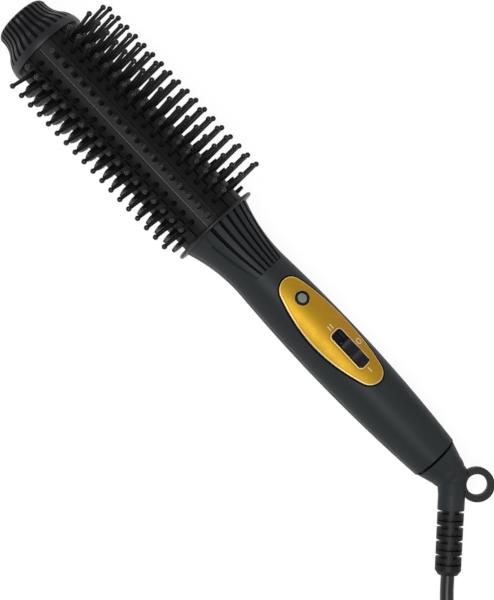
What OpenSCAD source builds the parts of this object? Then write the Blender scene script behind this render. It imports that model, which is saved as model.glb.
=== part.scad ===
// Heated hair styling brush: a round comb head, a two-shell handle with a sliding
// switch, and a cord outlet that swivels. It lies on the fins under its head.

/* [Comb head] */
// Radius over the outer faces of the comb strips
head_r = 19.25; // [18.5:0.25:20.5]
// Length of the barrel and of its comb strips
head_l = 120.5; // [90:0.5:150]
// Width of the groove between two comb strips
groove_w = 0.75; // [0.5:0.05:1.5]
// Thickness of a comb strip's plate
plate_t = 1.5; // [1.2:0.1:1.8]
// Spacing of the pins and of the fins along a row
pin_pitch = 6.3; // [5.5:0.05:8]
// Distance from a strip's end to its first pin
row_inset = 6; // [6:0.1:9]
// Radius over the balls of the long pins
pin_tip_r = 37.5; // [32:0.25:42]
// Diameter of the ball on a pin
ball_d = 2.8; // [2.3:0.1:3.2]
// Diameter of a pin at its root
pin_root_d = 2.5; // [2.2:0.1:3]
// Diameter of a pin just under its ball
pin_neck_d = 1.8; // [1.2:0.1:2]
// Radius over the tips of the fins
fin_tip_r = 24.6; // [24.2:0.1:28]
// Width of a fin at its tip, round the head
fin_w = 7.2; // [6.4:0.1:7.6]
// Thickness of a fin along the head
fin_t = 2.2; // [1.6:0.1:2.8]

/* [Barrel] */
// Bore of the barrel, which holds the heater
barrel_bore_r = 12.5; // [11.5:0.1:13.2]
// Length of the two heat blocks
heat_block_l = 70; // [40:1:84]
// Thickness of the heating plate
heater_plate_t = 2.6; // [2:0.1:4]

/* [Tip cap] */
// Length of the cap
cap_l = 21.5; // [18:0.5:28]
// Radius of the cap near its front
cap_tip_r = 14.45; // [13:0.05:16]
// Radius of the cap's rim
cap_rim_r = 21.3; // [20.8:0.05:23.5]
// Number of flutes round the cap
flutes = 30; // [20:1:36]
// Depth of a flute
flute_depth = 1; // [0.4:0.1:1.2]
// Angle that a flute takes
flute_deg = 5.5; // [3:0.1:7]
// Length of the smooth band at the rim
rim_band_l = 4; // [3:0.5:8]

/* [Collar] */
// Radius of the flange between head and neck
flange_r = 24; // [22.5:0.1:24.1]
// Thickness of the flange
flange_t = 1.85; // [1.5:0.05:3]

/* [Handle] */
// Length of the handle from the flange to the swivel
handle_l = 159.15; // [145:0.05:175]
// Largest radius of the handle
belly_r = 16.35; // [16:0.05:18]
// Distance from the flange to the fullest part
belly_at = 82.65; // [76:0.05:88]
// Radius of the neck's waist
waist_r = 14.82; // [14.5:0.02:15.6]
// Thickness of the handle's shells
wall = 2.4; // [2.2:0.1:2.8]
// Length of the ribbed part of the neck
ribs_l = 33.35; // [26:0.05:35]
// Width of a groove between the ribs, at the flange
rib_groove_w = 1.8; // [1.2:0.1:2.2]
// Width of the same groove at its other end
rib_groove_end_w = 1.1; // [0.8:0.1:1.4]
// Depth of a groove below the ribs
rib_groove_depth = 2; // [1:0.1:2.2]

/* [Control panel] */
// Length of the oval panel
panel_l = 69; // [62:0.5:74]
// Width of the oval panel
panel_w = 22.8; // [21:0.2:24]
// Distance from the flange to the panel's middle
panel_at = 76.75; // [74:0.25:80]
// Length of the switch's slot
switch_slot_l = 22.3; // [20:0.1:24]
// Width of the switch's slot
switch_slot_w = 7.1; // [6.4:0.1:8]
// Length of the sliding knob
knob_l = 15.6; // [12:0.1:16.4]
// How far the knob stands above the panel
knob_proud = 1.15; // [0.6:0.05:2]
// Diameter of the light's window
lens_d = 5; // [4:0.1:5.6]

/* [Cord outlet] */
// Radius of the elbow where it meets the handle
elbow_r = 12.1; // [11.6:0.05:12.8]
// Radius of the elbow's arm
arm_r = 6.8; // [6.4:0.1:7]
// Outer radius of the hanging loop
loop_r = 8.85; // [8:0.05:10]
// Radius of the hole in the hanging loop
loop_bore_r = 5.3; // [4.6:0.1:5.8]
// Thickness of the hanging loop
loop_t = 4; // [3:0.1:5]
// Length of the strain relief
relief_l = 33; // [31:0.1:33]
// Width of the slots in the strain relief
relief_slot_w = 1.6; // [0.8:0.1:1.8]

/* [Cord] */
// Diameter of the cord
cord_d = 6.9; // [6:0.1:6.9]
// Distance from one turn of the coil to the next
coil_pitch = 7.4; // [7.4:0.1:8]

/* [Fits] */
// Radial clearance of a piece that is seated in another
seat_gap = 0.15; // [0.1:0.05:0.25]
// Clearance between pieces that move past each other
run_gap = 0.3; // [0.25:0.05:0.5]

/* [Hidden] */
PIN_ROWS = [-3:3];
FIN_ROWS = [4:12];
$fn = 72;
eps = 0.01;

// Stations along the brush, from the front of the cap
strip_u = cap_l;
flange_u = strip_u + head_l;
neck_u = flange_u + flange_t;
handle_end = neck_u + handle_l;
elbow_u = handle_end + 13.5;
elbow_face_u = handle_end + 1;

// The comb rows
row_step = 360 / 16;
row_count = floor((head_l - 2 * row_inset) / pin_pitch) + 1;
plate_r = head_r - plate_t;
barrel_r = plate_r - seat_gap;
foot_w = 2.6;
foot_t = 0.9;
foot_r = barrel_r - 2.2;
foot_neck_w = 1.4;

// The S-shaped flare of the cap is two equal arcs
cap_tip_l = 3.5;
cap_corner_r = 3.2;
// How far the cap's curves run past each other, so that they cross and don't only touch
flare_bite = 0.05;
flare_l = cap_l - cap_tip_l;
flare_h = cap_rim_r - cap_tip_r;
flare_r = (flare_l * flare_l + flare_h * flare_h) / (4 * flare_h);

// The handle's outline is a hollow arc at the neck and a full arc at the belly
neck_curve_r = 85;
belly_curve_r = 839;
belly_u = neck_u + belly_at;
centres_r = neck_curve_r + waist_r + belly_curve_r - belly_r;
centres_u = sqrt(pow(neck_curve_r + belly_curve_r, 2) - pow(centres_r, 2));
waist_u = belly_u - centres_u;
function belly_y(u) =
    belly_r - belly_curve_r + sqrt(pow(belly_curve_r, 2) - pow(u - belly_u, 2));

// The groove where the shells meet
seam_w = 0.4;
seam_depth = 0.35;

// Spigots and bores along the axis
spigot_r = barrel_bore_r - seat_gap;
spigot_l = 11;
collar_tail_r = 12;
collar_tail_l = 11;
lead_bore_r = 7;
cavity_u = neck_u + 36;

// The heater sits in the middle of the barrel, with a fuse on one side and a sensor on the other
heat_u = strip_u + spigot_l + (head_l - 2 * spigot_l - heat_block_l) / 2;
heater_plate_w = 16;
sensor_y = 6.6;
fuse_r = 2;
fuse_l = 12;
fuse_sink = 14;
thermistor_r = 1.4;
thermistor_l = 8;
sensor_wire_r = 0.5;
sensor_wire_out = 6;
lead_r = 0.8;
lead_straight_l = 8;

// Ribs on the neck, counted from the middle one, and the faint grooves beside them
rib_sink = 0.6;
rib_edge = 3;
rib_edge_depth = 0.5;
rib_edge_start = 6;
rib_step_wide = 5;
rib_step_narrow = 2.8;

// The oval panel is drawn with four arcs
panel_u = neck_u + panel_at;
panel_gap = 0.25;
panel_t = 1.2;
panel_edge_proud = 0.1;
panel_face_proud = 0.45;
panel_bevel = 0.8;
panel_end_r = 7.2;
lamp_u = panel_u - panel_l / 2 + 12.9;
slot_u = panel_u + 12.6;
slot_corner_r = 2;
slot_rim_w = 0.9;
slot_rim_proud = 0.3;
bezel_r = 3.7;
lamp_face_y = belly_y(lamp_u) + panel_face_proud;
lens_foot_y = lamp_face_y - 2;

// The switch
knob_w = switch_slot_w - 0.8;
knob_travel = switch_slot_l - knob_l - 2 * seat_gap;
knob_u = slot_u + knob_travel / 2;
slot_y = belly_y(slot_u) + panel_face_proud;
well_floor_y = slot_y - 3.4;
well_floor_t = 0.8;
knob_base_y = well_floor_y + run_gap;
knob_top_y = slot_y + knob_proud;
stem_l = 3;
stem_w = 2;
well_flange_y = belly_y(slot_u) - wall - 1.3;

// The circuit board and what stands on it
board_l = 58;
board_w = 18;
board_t = 1.6;
board_y = 2;
board_u = panel_u - 28.5;
board_top_y = board_y + board_t;
switch_body_top_y = well_flange_y - well_floor_t - run_gap;
switch_throw_l = knob_travel + stem_l + 2 * run_gap;
switch_body_w = 9;
switch_body_l = 20;

// Screws that hold the shells together
screw_us = [neck_u + 42.15, panel_u + 42.4];
screw_r = 1.3;
screw_head_r = 2.6;
screw_head_h = 1.8;
screw_seat_y = -9;
screw_tip_y = 7.5;

// The swivel
stub_r = 5.6;
cord_hole_r = cord_d / 2 + 0.1;
lead_hole_r = 3;
bush_r = 10.2;
bush_l = 9.4;
bush_u = handle_end + 0.6 - bush_l;
running_gap = 0.08;
rib_u = bush_u - 3.7;
rib_bore_r = 8.4;
clip_t = 1;
clip_u = bush_u - run_gap - clip_t;
clip_groove_r = 4.9;
ring_r = 7;
ring_l = 3;
ring_us = [rib_u - 7, rib_u - 3];
stub_u = ring_us[0] - 1;

// The fingers stand on a ledge in the shell, which is narrowest at the last slip ring
finger_w = 2.2;
finger_room_r = belly_y(ring_us[1] + ring_l) - wall;
finger_y = 0.3 - 0.83 * finger_room_r;
finger_foot_x = 0.3 - sqrt(pow(finger_room_r, 2) - pow(finger_y, 2));

// The elbow turns towards the table
elbow_ball_r = 9.66;
elbow_ball_u = elbow_u - 5.1;
bend_ball_r = 8.2;
arm_taper_l = 9;
// How far a turned cone's edge goes inside the ball that it runs into
profile_bite = 0.25;
out_dir = [19, -18, -8] / norm([19, -18, -8]);
arm_l = 16.42;
loop_along = 3.3;
loop_aside = 12.35;
hook_room = 0.8;
// The loop faces up and away from the side where the cord leaves
loop_axis = [0, -8, 18] / norm([8, 18]);
side_dir = cross(out_dir, loop_axis);
loop_at = loop_along * out_dir - loop_aside * side_dir;
// The ring is let into the arm as far as a core that stays whole
socket_core_r = arm_r - 1.8;
socket_reach = loop_aside + loop_r;
// The first slots of the strain relief are turned to face the same way as the loop
relief_turn = let (
    tilt = acos(out_dir[2]),
    spin = atan2(out_dir[1], out_dir[0]),
    across = [cos(spin) * cos(tilt), sin(spin) * cos(tilt), -sin(tilt)],
    other = [-sin(spin), cos(spin), 0]
) atan2(loop_axis * other, loop_axis * across);

// Position of the object: it stands on its lowest fins, and its length is centred
axis_z = fin_tip_r;
mid_x = (elbow_u + loop_at[0] + loop_r) / 2;
module on_axis() translate([-mid_x, 0, axis_z]) rotate([90, 0, 90]) children();
module at_elbow() translate([elbow_u - mid_x, 0, axis_z]) children();

// The cord's route from the arm to the coil, and from the coil to the plug
tie_t = 0.6;
cord_z = 4.2;
cord_route = concat(
    [for (l = [0, relief_l / 2, relief_l + 0.3])
        [elbow_u - mid_x, 0, axis_z] + (arm_l + l) * out_dir],
    [[189, -38.6, 7.45], [196.5, -45, 5.2], [210, -56, 4.2], [225, -64, 4.2],
        [239.5, -69, 4.2], [253.5, -72.7, 4.2]]
);
tail_route = [
    [338, -20, 12.8], [331.5, -3.3, 15.2], [319.8, 10, 17.6], [304.5, 18.8, 19.2],
    [285.5, 20, 20.2], [273, 12.8, 21.2], [265.7, 0.2, 22]
];
coil_centre = [287, -29];
coil_start_deg = 255.2;
coil_turns = 6.25;
coil_r = 50.8;
coil_rings = 24;
plug_at = [263.9, -6.5, 22];
plug_l = 34;
plug_w = 35.3;
plug_t = 13.7;
plug_pin_r = 2;
plug_pin_l = 19;
plug_pin_spacing = 18.6;

// Colours
dark_plastic = [0.2, 0.22, 0.23];
black_plastic = [0.09, 0.09, 0.1];
grey_plastic = [0.27, 0.26, 0.29];
cord_black = [0.12, 0.12, 0.13];
aluminium = [0.75, 0.76, 0.78];
brass = [0.8, 0.65, 0.35];
gold = [0.83, 0.62, 0.15];

// A plan drawing, x across and y along the brush, given the heights that it spans
module plan(y0, y1) {
    translate([0, y1, 0]) rotate([90, 0, 0]) linear_extrude(y1 - y0) children();
}

// A cylinder that stands on the plan, at a station along the brush
module post(u, r, y0, y1) {
    plan(y0, y1) translate([0, u]) circle(r);
}

// A rectangle with rounded corners, centred
module rounded_slot(l, w, r) {
    square([w - 2 * r, l], center = true);
    square([w, l - 2 * r], center = true);
    for (x = [-1, 1], y = [-1, 1]) {
        translate([x * (w / 2 - r), y * (l / 2 - r)]) circle(r);
    }
}

// Turns the upright axis to a direction, from a point
module along(from, dir) {
    translate(from) rotate([0, acos(dir[2] / norm(dir)), atan2(dir[1], dir[0])]) children();
}

// The points of one ring of a tube
function ring_points(p, dir, r, sides, turn) =
    let (side = cross(dir, [0, 0, 1]) / norm(cross(dir, [0, 0, 1])), up = cross(side, dir))
    [for (i = [0:sides - 1])
        let (a = turn + 360 * i / sides) p + r * (cos(a) * side + sin(a) * up)];

function unit(v) = v / norm(v);

// The direction of a route at one of its points
function route_dir(route, i) =
    let (last = len(route) - 1)
    i == 0 ? unit(route[1] - route[0])
    : i == last ? unit(route[last] - route[last - 1])
    : unit(unit(route[i] - route[i - 1]) + unit(route[i + 1] - route[i]));

// A tube along a route, with triangles for faces
module tube(route, r, sides, turn = 0) {
    last = len(route) - 1;
    points = [for (i = [0:last]) each ring_points(route[i], route_dir(route, i), r, sides, turn)];
    function at(ring, k) = ring * sides + k % sides;
    walls = [for (i = [0:last - 1], k = [0:sides - 1])
        each [[at(i, k), at(i + 1, k), at(i + 1, k + 1)], [at(i, k), at(i + 1, k + 1), at(i, k + 1)]]];
    caps = [for (k = [1:sides - 2])
        each [[at(0, 0), at(0, k), at(0, k + 1)], [at(last, 0), at(last, k + 1), at(last, k)]]];
    polyhedron(points, concat(walls, caps));
}

// Half of the cap's outline, set in by an amount
module cap_flare(inset) {
    hollow = [cap_tip_r + flare_r, cap_tip_l];
    full = [cap_rim_r - flare_r, cap_l];
    meet = hollow + (full - hollow) * (flare_r + inset) / (2 * flare_r);
    difference() {
        translate([0, -2]) square([cap_rim_r, cap_l + 2]);
        translate([cap_tip_r - inset + flare_bite, -3]) square([cap_rim_r, cap_tip_l + 3]);
        translate(hollow) circle(flare_r + inset, $fn = 180);
        difference() {
            translate([0, meet[1]]) square([cap_rim_r + 1, cap_l]);
            translate(full) circle(flare_r - inset + flare_bite, $fn = 180);
        }
    }
}

module tip_cap() {
    band_u = cap_l - rim_band_l;
    corner = [cap_tip_r + 2 * flare_bite - cap_corner_r, cap_corner_r - flare_bite];
    color(grey_plastic) difference() {
        rotate_extrude() difference() {
            union() {
                cap_flare(0);
                square([spigot_r, cap_l + spigot_l]);
            }
            translate([-eps, cap_tip_l]) square([spigot_r - 2.5 + eps, cap_l + spigot_l]);
            translate([-eps, -3]) square([cap_rim_r, 3]);
            difference() {
                translate([corner[0], -1]) square([cap_tip_r, corner[1] + 1]);
                translate(corner) circle(cap_corner_r);
            }
        }
        for (i = [0:flutes - 1]) {
            rotate(360 / flutes * (i + 0.5) - flute_deg / 2) rotate_extrude(angle = flute_deg) {
                difference() {
                    translate([0, -1]) square([cap_rim_r + 1, band_u + 1]);
                    cap_flare(flute_depth);
                }
            }
        }
    }
}

// The slot in the barrel that a strip's foot slides into, and the foot itself
module foot(gap) {
    w = foot_w + 2 * gap;
    neck = foot_neck_w + 2 * gap;
    translate([-w / 2, foot_r - gap]) square([w, foot_t + 2 * gap]);
    translate([-neck / 2, foot_r]) square([neck, plate_r + plate_t / 2 - foot_r]);
}

module heater_barrel() {
    color(aluminium) translate([0, 0, strip_u]) linear_extrude(head_l) difference() {
        circle(barrel_r, $fn = 144);
        circle(barrel_bore_r, $fn = 144);
        for (i = [0:15]) {
            rotate(i * row_step) foot(seat_gap);
        }
    }
}

// The part of every strip that lies on the barrel
module strip_plate() {
    half = row_step / 2 - asin(groove_w / 2 / head_r);
    reach = 2 * head_r;
    translate([0, 0, strip_u]) linear_extrude(head_l) {
        intersection() {
            difference() {
                circle(head_r, $fn = 144);
                circle(plate_r, $fn = 144);
            }
            polygon([[0, 0], [-reach * sin(half), reach * cos(half)],
                [reach * sin(half), reach * cos(half)]]);
        }
        foot(0);
    }
}

module pin() {
    ball_r = ball_d / 2;
    root_r = head_r - plate_t / 2;
    translate([0, 0, root_r]) {
        cylinder(h = pin_tip_r - ball_r - root_r, r1 = pin_root_d / 2, r2 = pin_neck_d / 2, $fn = 24);
    }
    translate([0, 0, pin_tip_r - ball_r]) sphere(ball_r, $fn = 24);
}

module pin_strip(row) {
    // One row beside the middle starts half a pitch later
    shift = row == 1 ? pin_pitch / 2 : 0;
    color(black_plastic) rotate(row * row_step) {
        strip_plate();
        for (i = [0:row_count - 1]) {
            translate([0, 0, strip_u + row_inset + shift + i * pin_pitch]) rotate([-90, 0, 0]) pin();
        }
    }
}

// A fin seen along the head: narrow at its root, wide and rounded at its tip
module fin_outline() {
    root = 3.15;
    corner = 1.3;
    shoulder = fin_tip_r - 2.2;
    half = fin_w / 2;
    polygon([[-root, head_r - plate_t / 2], [root, head_r - plate_t / 2], [half, shoulder],
        [half, fin_tip_r - corner], [-half, fin_tip_r - corner], [-half, shoulder]]);
    translate([corner - half, fin_tip_r - corner]) square([fin_w - 2 * corner, corner]);
    for (x = [-1, 1]) {
        translate([x * (half - corner), fin_tip_r - corner]) circle(corner, $fn = 32);
    }
}

// A fin seen across the head
module fin_side() {
    tip = 0.8 * fin_t;
    edge = 0.4;
    polygon([[-fin_t / 2, head_r - plate_t], [fin_t / 2, head_r - plate_t],
        [tip / 2, fin_tip_r - edge], [tip / 2 - edge, fin_tip_r],
        [edge - tip / 2, fin_tip_r], [-tip / 2, fin_tip_r - edge]]);
}

module fin_strip(row) {
    color(black_plastic) rotate(row * row_step) {
        strip_plate();
        for (i = [0:row_count - 1]) {
            translate([0, 0, strip_u + row_inset + (i + 0.5) * pin_pitch]) intersection() {
                translate([0, 0, -fin_t]) linear_extrude(2 * fin_t) fin_outline();
                rotate([0, -90, 0]) linear_extrude(fin_w + 2, center = true) fin_side();
            }
        }
    }
}

module barrel_collar() {
    rim = flange_t / 2;
    bore = collar_tail_r - 4;
    color(dark_plastic) rotate_extrude() difference() {
        union() {
            translate([0, flange_u - spigot_l]) square([spigot_r, spigot_l + eps]);
            translate([0, flange_u]) square([flange_r - rim, flange_t]);
            translate([flange_r - rim, flange_u + rim]) circle(rim, $fn = 32);
            translate([0, neck_u - eps]) square([collar_tail_r, collar_tail_l + eps]);
        }
        translate([-eps, flange_u - spigot_l - 1]) {
            square([bore + eps, spigot_l + flange_t + collar_tail_l + 2]);
        }
    }
}

// The heater is clamped between two half-round blocks
module heater_plate() {
    color("gainsboro") translate([-heater_plate_w / 2, -heater_plate_t / 2, heat_u]) {
        cube([heater_plate_w, heater_plate_t, heat_block_l]);
    }
}

module heat_block(hole_r) {
    block_r = barrel_bore_r - seat_gap;
    color(aluminium) translate([0, 0, heat_u]) linear_extrude(heat_block_l) difference() {
        intersection() {
            circle(block_r);
            translate([-block_r, heater_plate_t / 2]) square([2 * block_r, block_r]);
        }
        translate([0, sensor_y]) circle(hole_r, $fn = 48);
    }
}

module thermal_fuse() {
    color("silver") translate([0, sensor_y, heat_u + heat_block_l - fuse_sink]) {
        cylinder(h = fuse_l, r = fuse_r, $fn = 48);
        cylinder(h = fuse_sink + sensor_wire_out, r = sensor_wire_r, $fn = 24);
    }
}

module thermistor() {
    color("darkorange") translate([0, -sensor_y, heat_u + heat_block_l - thermistor_l]) {
        cylinder(h = thermistor_l, r = thermistor_r, $fn = 48);
        cylinder(h = thermistor_l + sensor_wire_out, r = sensor_wire_r, $fn = 24);
    }
}

// Points along a wire are given across, up and along the brush
function brush_points(list) = [for (p = list) [p[2] - mid_x, p[0], p[1] + axis_z]];

module heater_leads() {
    heat_end = heat_u + heat_block_l;
    color("white") for (x = [-1, 1]) {
        tube(brush_points([[x * 5, 0, heat_end + seat_gap], [x * 5, 0, heat_end + lead_straight_l],
            [x * 4, 0, flange_u], [x * 4, 0, cavity_u - 4], [x * 5.4, 0.3, screw_us[0]],
            [x * 5, board_y - lead_r - seat_gap, board_u + 2]]), lead_r, 8);
    }
}

// The handle's outline, set in by an amount, from the flange to the swivel
module handle_outline(inset) {
    hollow = [neck_curve_r + waist_r, waist_u];
    full = [belly_r - belly_curve_r, belly_u];
    meet = hollow + (full - hollow) * (neck_curve_r + inset) / (neck_curve_r + belly_curve_r);
    difference() {
        translate([0, neck_u]) square([flange_r, handle_l]);
        translate(hollow) circle(neck_curve_r + inset, $fn = 360);
        difference() {
            translate([0, meet[1]]) square([flange_r + 1, handle_l]);
            translate(full) circle(belly_curve_r - inset, $fn = 1440);
        }
    }
}

module handle_body(inset) {
    rotate_extrude() handle_outline(inset);
}

// A step of the hollow inside the handle, drawn from just past the axis
module hollow_step(r, u0, u1) {
    translate([-1, u0]) square([r + 1, u1 - u0]);
}

// What is hollow inside the handle
module handle_hollow() {
    hollow_step(collar_tail_r + seat_gap, neck_u - 1, neck_u + collar_tail_l + seat_gap);
    hollow_step(lead_bore_r, neck_u, cavity_u + 1);
    intersection() {
        handle_outline(wall);
        translate([0, cavity_u]) square([belly_r, rib_u - cavity_u]);
    }
    hollow_step(rib_bore_r, rib_u - 1, bush_u + 1);
    hollow_step(bush_r + seat_gap, bush_u, handle_end + 1);
}

// Half of the handle's shell, on the upper side
module half_shell() {
    rotate_extrude(angle = 180) difference() {
        handle_outline(0);
        handle_hollow();
    }
}

// The lip of one shell, which goes behind the edge of the other
module lip(outer, inner, y0, y1) {
    lip_u = cavity_u + 2;
    intersection() {
        rotate_extrude() difference() {
            handle_outline(outer);
            handle_outline(inner);
        }
        translate([-belly_r, y0, lip_u]) cube([2 * belly_r, y1 - y0, rib_u - 2 - lip_u]);
    }
}

// The part of the neck that the ribs take, seen from above
module rib_zone() {
    wide = rib_step_wide * rib_edge;
    narrow = rib_step_narrow * rib_edge;
    polygon([[-wide, neck_u - 1], [wide, neck_u - 1], [narrow, neck_u + ribs_l],
        [-narrow, neck_u + ribs_l]]);
}

module rib_groove(k) {
    // The outermost grooves start further from the flange and stay narrow
    outer = abs(k) == rib_edge;
    start = outer ? rib_edge_start : -1;
    end = ribs_l - 0.2;
    slope = (rib_step_narrow - rib_step_wide) * k / ribs_l;
    near = (outer ? rib_groove_end_w : rib_groove_w) / 2;
    far = rib_groove_end_w / 2;
    x0 = rib_step_wide * k + slope * start;
    x1 = rib_step_wide * k + slope * end;
    polygon([[x0 - near, neck_u + start], [x0 + near, neck_u + start],
        [x1 + far, neck_u + end], [x1 - far, neck_u + end]]);
}

module rib_cuts() {
    difference() {
        plan(0, flange_r) rib_zone();
        handle_body(rib_sink);
    }
    difference() {
        plan(0, flange_r) for (k = [1 - rib_edge:rib_edge - 1]) {
            rib_groove(k);
        }
        handle_body(rib_sink + rib_groove_depth);
    }
    difference() {
        plan(0, flange_r) for (k = [-rib_edge, rib_edge]) {
            rib_groove(k);
        }
        handle_body(rib_sink + rib_edge_depth);
    }
}

// The fine groove where the two shells meet
module seam_cut() {
    difference() {
        translate([-flange_r, -seam_w / 2, neck_u - 1]) cube([2 * flange_r, seam_w, handle_l + 2]);
        handle_body(seam_depth);
    }
}

// The oval is two long arcs closed by two round ends
module oval(grow) {
    a = panel_l / 2 + grow;
    b = panel_w / 2 + grow;
    r = panel_end_r + grow;
    side_r = (a * a + b * b - 2 * a * r) / (2 * (b - r));
    touch = (a - r) * side_r / (side_r - r);
    translate([0, panel_u]) {
        intersection() {
            translate([side_r - b, 0]) circle(side_r, $fn = 360);
            translate([b - side_r, 0]) circle(side_r, $fn = 360);
            square([2 * b, 2 * touch], center = true);
        }
        for (y = [-1, 1]) {
            translate([0, y * (a - r)]) circle(r, $fn = 96);
        }
    }
}

module handle_top_shell() {
    boss_r = 3.2;
    color(dark_plastic) difference() {
        union() {
            half_shell();
            for (u = screw_us) {
                intersection() {
                    post(u, boss_r, 0, belly_r);
                    handle_body(wall - 0.6);
                }
            }
        }
        rib_cuts();
        difference() {
            plan(2, belly_r + 2) oval(panel_gap);
            handle_body(panel_t);
        }
        plan(2, belly_r) translate([0, slot_u]) {
            rounded_slot(switch_slot_l + 2, switch_slot_w + 2, slot_corner_r + 1);
        }
        post(lamp_u, bezel_r + seat_gap, 2, belly_r);
        for (u = screw_us) {
            post(u, screw_r + 0.1, -1, screw_tip_y + 0.5);
        }
        lip(wall - 1.05, wall + 0.5, -1, 1.35);
        seam_cut();
    }
}

module handle_back_shell() {
    boss_r = 3.5;
    color(dark_plastic) difference() {
        union() {
            mirror([0, 1, 0]) half_shell();
            lip(wall - 0.9, wall - 0.15, -1, 1.2);
            for (u = screw_us) {
                intersection() {
                    post(u, boss_r, -belly_r, 0);
                    handle_body(wall - 0.6);
                }
            }
            // Two walls that the circuit board rests on
            for (u = [board_u + 4, board_u + board_l - 6]) {
                intersection() {
                    translate([-2.5, -belly_r, u]) cube([5, belly_r + board_y, 2]);
                    handle_body(wall - 0.6);
                }
            }
            // The ledge under the contact fingers
            intersection() {
                translate([finger_foot_x - 1, -belly_r, ring_us[0] - 0.5]) {
                    cube([-1.7 - finger_foot_x, belly_r + finger_y, ring_us[1] + ring_l - ring_us[0] + 1]);
                }
                handle_body(wall - 0.6);
            }
        }
        for (u = screw_us) {
            post(u, screw_r + 0.2, -belly_r, 1);
            post(u, screw_head_r + 0.3, -belly_r - 1, screw_seat_y);
        }
        seam_cut();
    }
}

module shell_screws() {
    color("silver") for (u = screw_us) {
        difference() {
            union() {
                post(u, screw_head_r, screw_seat_y - screw_head_h, screw_seat_y);
                post(u, screw_r, screw_seat_y - 1, screw_tip_y);
            }
            plan(screw_seat_y - screw_head_h - 1, screw_seat_y - 0.9) translate([0, u]) {
                square([3.2, 0.7], center = true);
                square([0.7, 3.2], center = true);
            }
        }
    }
}

module control_panel() {
    rim = 2 * slot_rim_w;
    color(gold) difference() {
        union() {
            intersection() {
                plan(2, belly_r + 2) oval(0);
                handle_body(-panel_edge_proud);
            }
            intersection() {
                plan(2, belly_r + 2) oval(-panel_bevel);
                handle_body(-panel_face_proud);
            }
            // The raised rim round the slot
            intersection() {
                plan(2, belly_r + 2) translate([0, slot_u]) {
                    rounded_slot(switch_slot_l + rim, switch_slot_w + rim, slot_corner_r + slot_rim_w);
                }
                handle_body(-panel_face_proud - slot_rim_proud);
            }
        }
        handle_body(panel_t);
        plan(0, belly_r + 2) translate([0, slot_u]) {
            rounded_slot(switch_slot_l, switch_slot_w, slot_corner_r);
        }
        post(lamp_u, bezel_r + seat_gap, 0, belly_r + 2);
    }
}

module indicator_bezel() {
    color(black_plastic) difference() {
        post(lamp_u, bezel_r, lamp_face_y - 3.8, lamp_face_y + 0.5);
        post(lamp_u, lens_d / 2 + seat_gap, lens_foot_y, belly_r + 2);
        post(lamp_u, lens_d / 2 - 0.4, 0, belly_r);
    }
}

module indicator_lens() {
    dome_r = 7;
    color("whitesmoke") intersection() {
        post(lamp_u, lens_d / 2, lens_foot_y, lamp_face_y + 1);
        translate([0, lamp_face_y + 0.55 - dome_r, lamp_u]) sphere(dome_r);
    }
}

module indicator_lamp() {
    bulb_r = 1.5;
    bulb_y = board_top_y + 3.2;
    color("orange") {
        post(lamp_u, bulb_r, bulb_y, lens_foot_y - run_gap - bulb_r);
        translate([0, lens_foot_y - run_gap - bulb_r, lamp_u]) sphere(bulb_r, $fn = 48);
        for (x = [-0.8, 0.8]) {
            translate([x, 0, 0]) post(lamp_u, 0.3, board_top_y, bulb_y + 0.5);
        }
    }
}

module switch_well() {
    rim = 0.8;
    color(black_plastic) difference() {
        union() {
            intersection() {
                plan(well_flange_y, belly_r) translate([0, slot_u]) {
                    rounded_slot(switch_slot_l + 2 * rim, switch_slot_w + 2 * rim, slot_corner_r + rim);
                }
                handle_body(panel_t + 0.05);
            }
            plan(well_flange_y - well_floor_t, well_flange_y + eps) translate([0, slot_u]) {
                rounded_slot(switch_slot_l + 5, switch_slot_w + 4, slot_corner_r);
            }
        }
        plan(well_floor_y, belly_r + 1) translate([0, slot_u]) {
            rounded_slot(switch_slot_l, switch_slot_w, slot_corner_r);
        }
        plan(0, belly_r) translate([0, slot_u]) {
            square([stem_w + 2 * run_gap, switch_throw_l], center = true);
        }
    }
}

// Each half of the knob is hollowed for the thumb, which leaves a ridge in the middle
module switch_knob() {
    ridge_w = 1;
    edge_w = 0.8;
    dish_depth = 0.6;
    dish_l = (knob_l - ridge_w) / 2 - edge_w;
    dish_r = (dish_l * dish_l / 4 + dish_depth * dish_depth) / (2 * dish_depth);
    color(black_plastic) {
        difference() {
            plan(knob_base_y, knob_top_y) translate([0, knob_u]) {
                rounded_slot(knob_l, knob_w, 1.2);
            }
            for (end = [-1, 1]) {
                translate([0, knob_top_y + dish_r - dish_depth, knob_u + end * (ridge_w + dish_l) / 2]) {
                    rotate([0, 90, 0]) cylinder(h = knob_w + 2, r = dish_r, center = true);
                }
            }
        }
        plan(switch_body_top_y - 0.7, knob_base_y + eps) translate([0, knob_u]) {
            square([stem_w, stem_l], center = true);
        }
    }
}

module switch_body() {
    color("ivory") difference() {
        plan(board_top_y, switch_body_top_y) translate([0, slot_u]) {
            square([switch_body_w, switch_body_l], center = true);
        }
        plan(switch_body_top_y - 1.5, switch_body_top_y + 1) translate([0, slot_u]) {
            square([stem_w + 2 * run_gap, switch_throw_l], center = true);
        }
    }
}

module circuit_board() {
    color("darkgreen") plan(board_y, board_top_y) {
        translate([-board_w / 2, board_u]) square([board_w, board_l]);
    }
}

module supply_leads() {
    color("white") for (i = [0, 1]) {
        end_u = ring_us[i] + ring_l / 2;
        x = i == 0 ? -6.2 : 5.4;
        tube(brush_points([[x, board_y - lead_r - seat_gap, board_u + board_l - 2],
            [x, 0, screw_us[1]], [x, -2, ring_us[0] - 8], [-6.2, finger_y + 3.5, ring_us[0] - 4 + 4 * i]]),
            lead_r, 8);
    }
}

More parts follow.
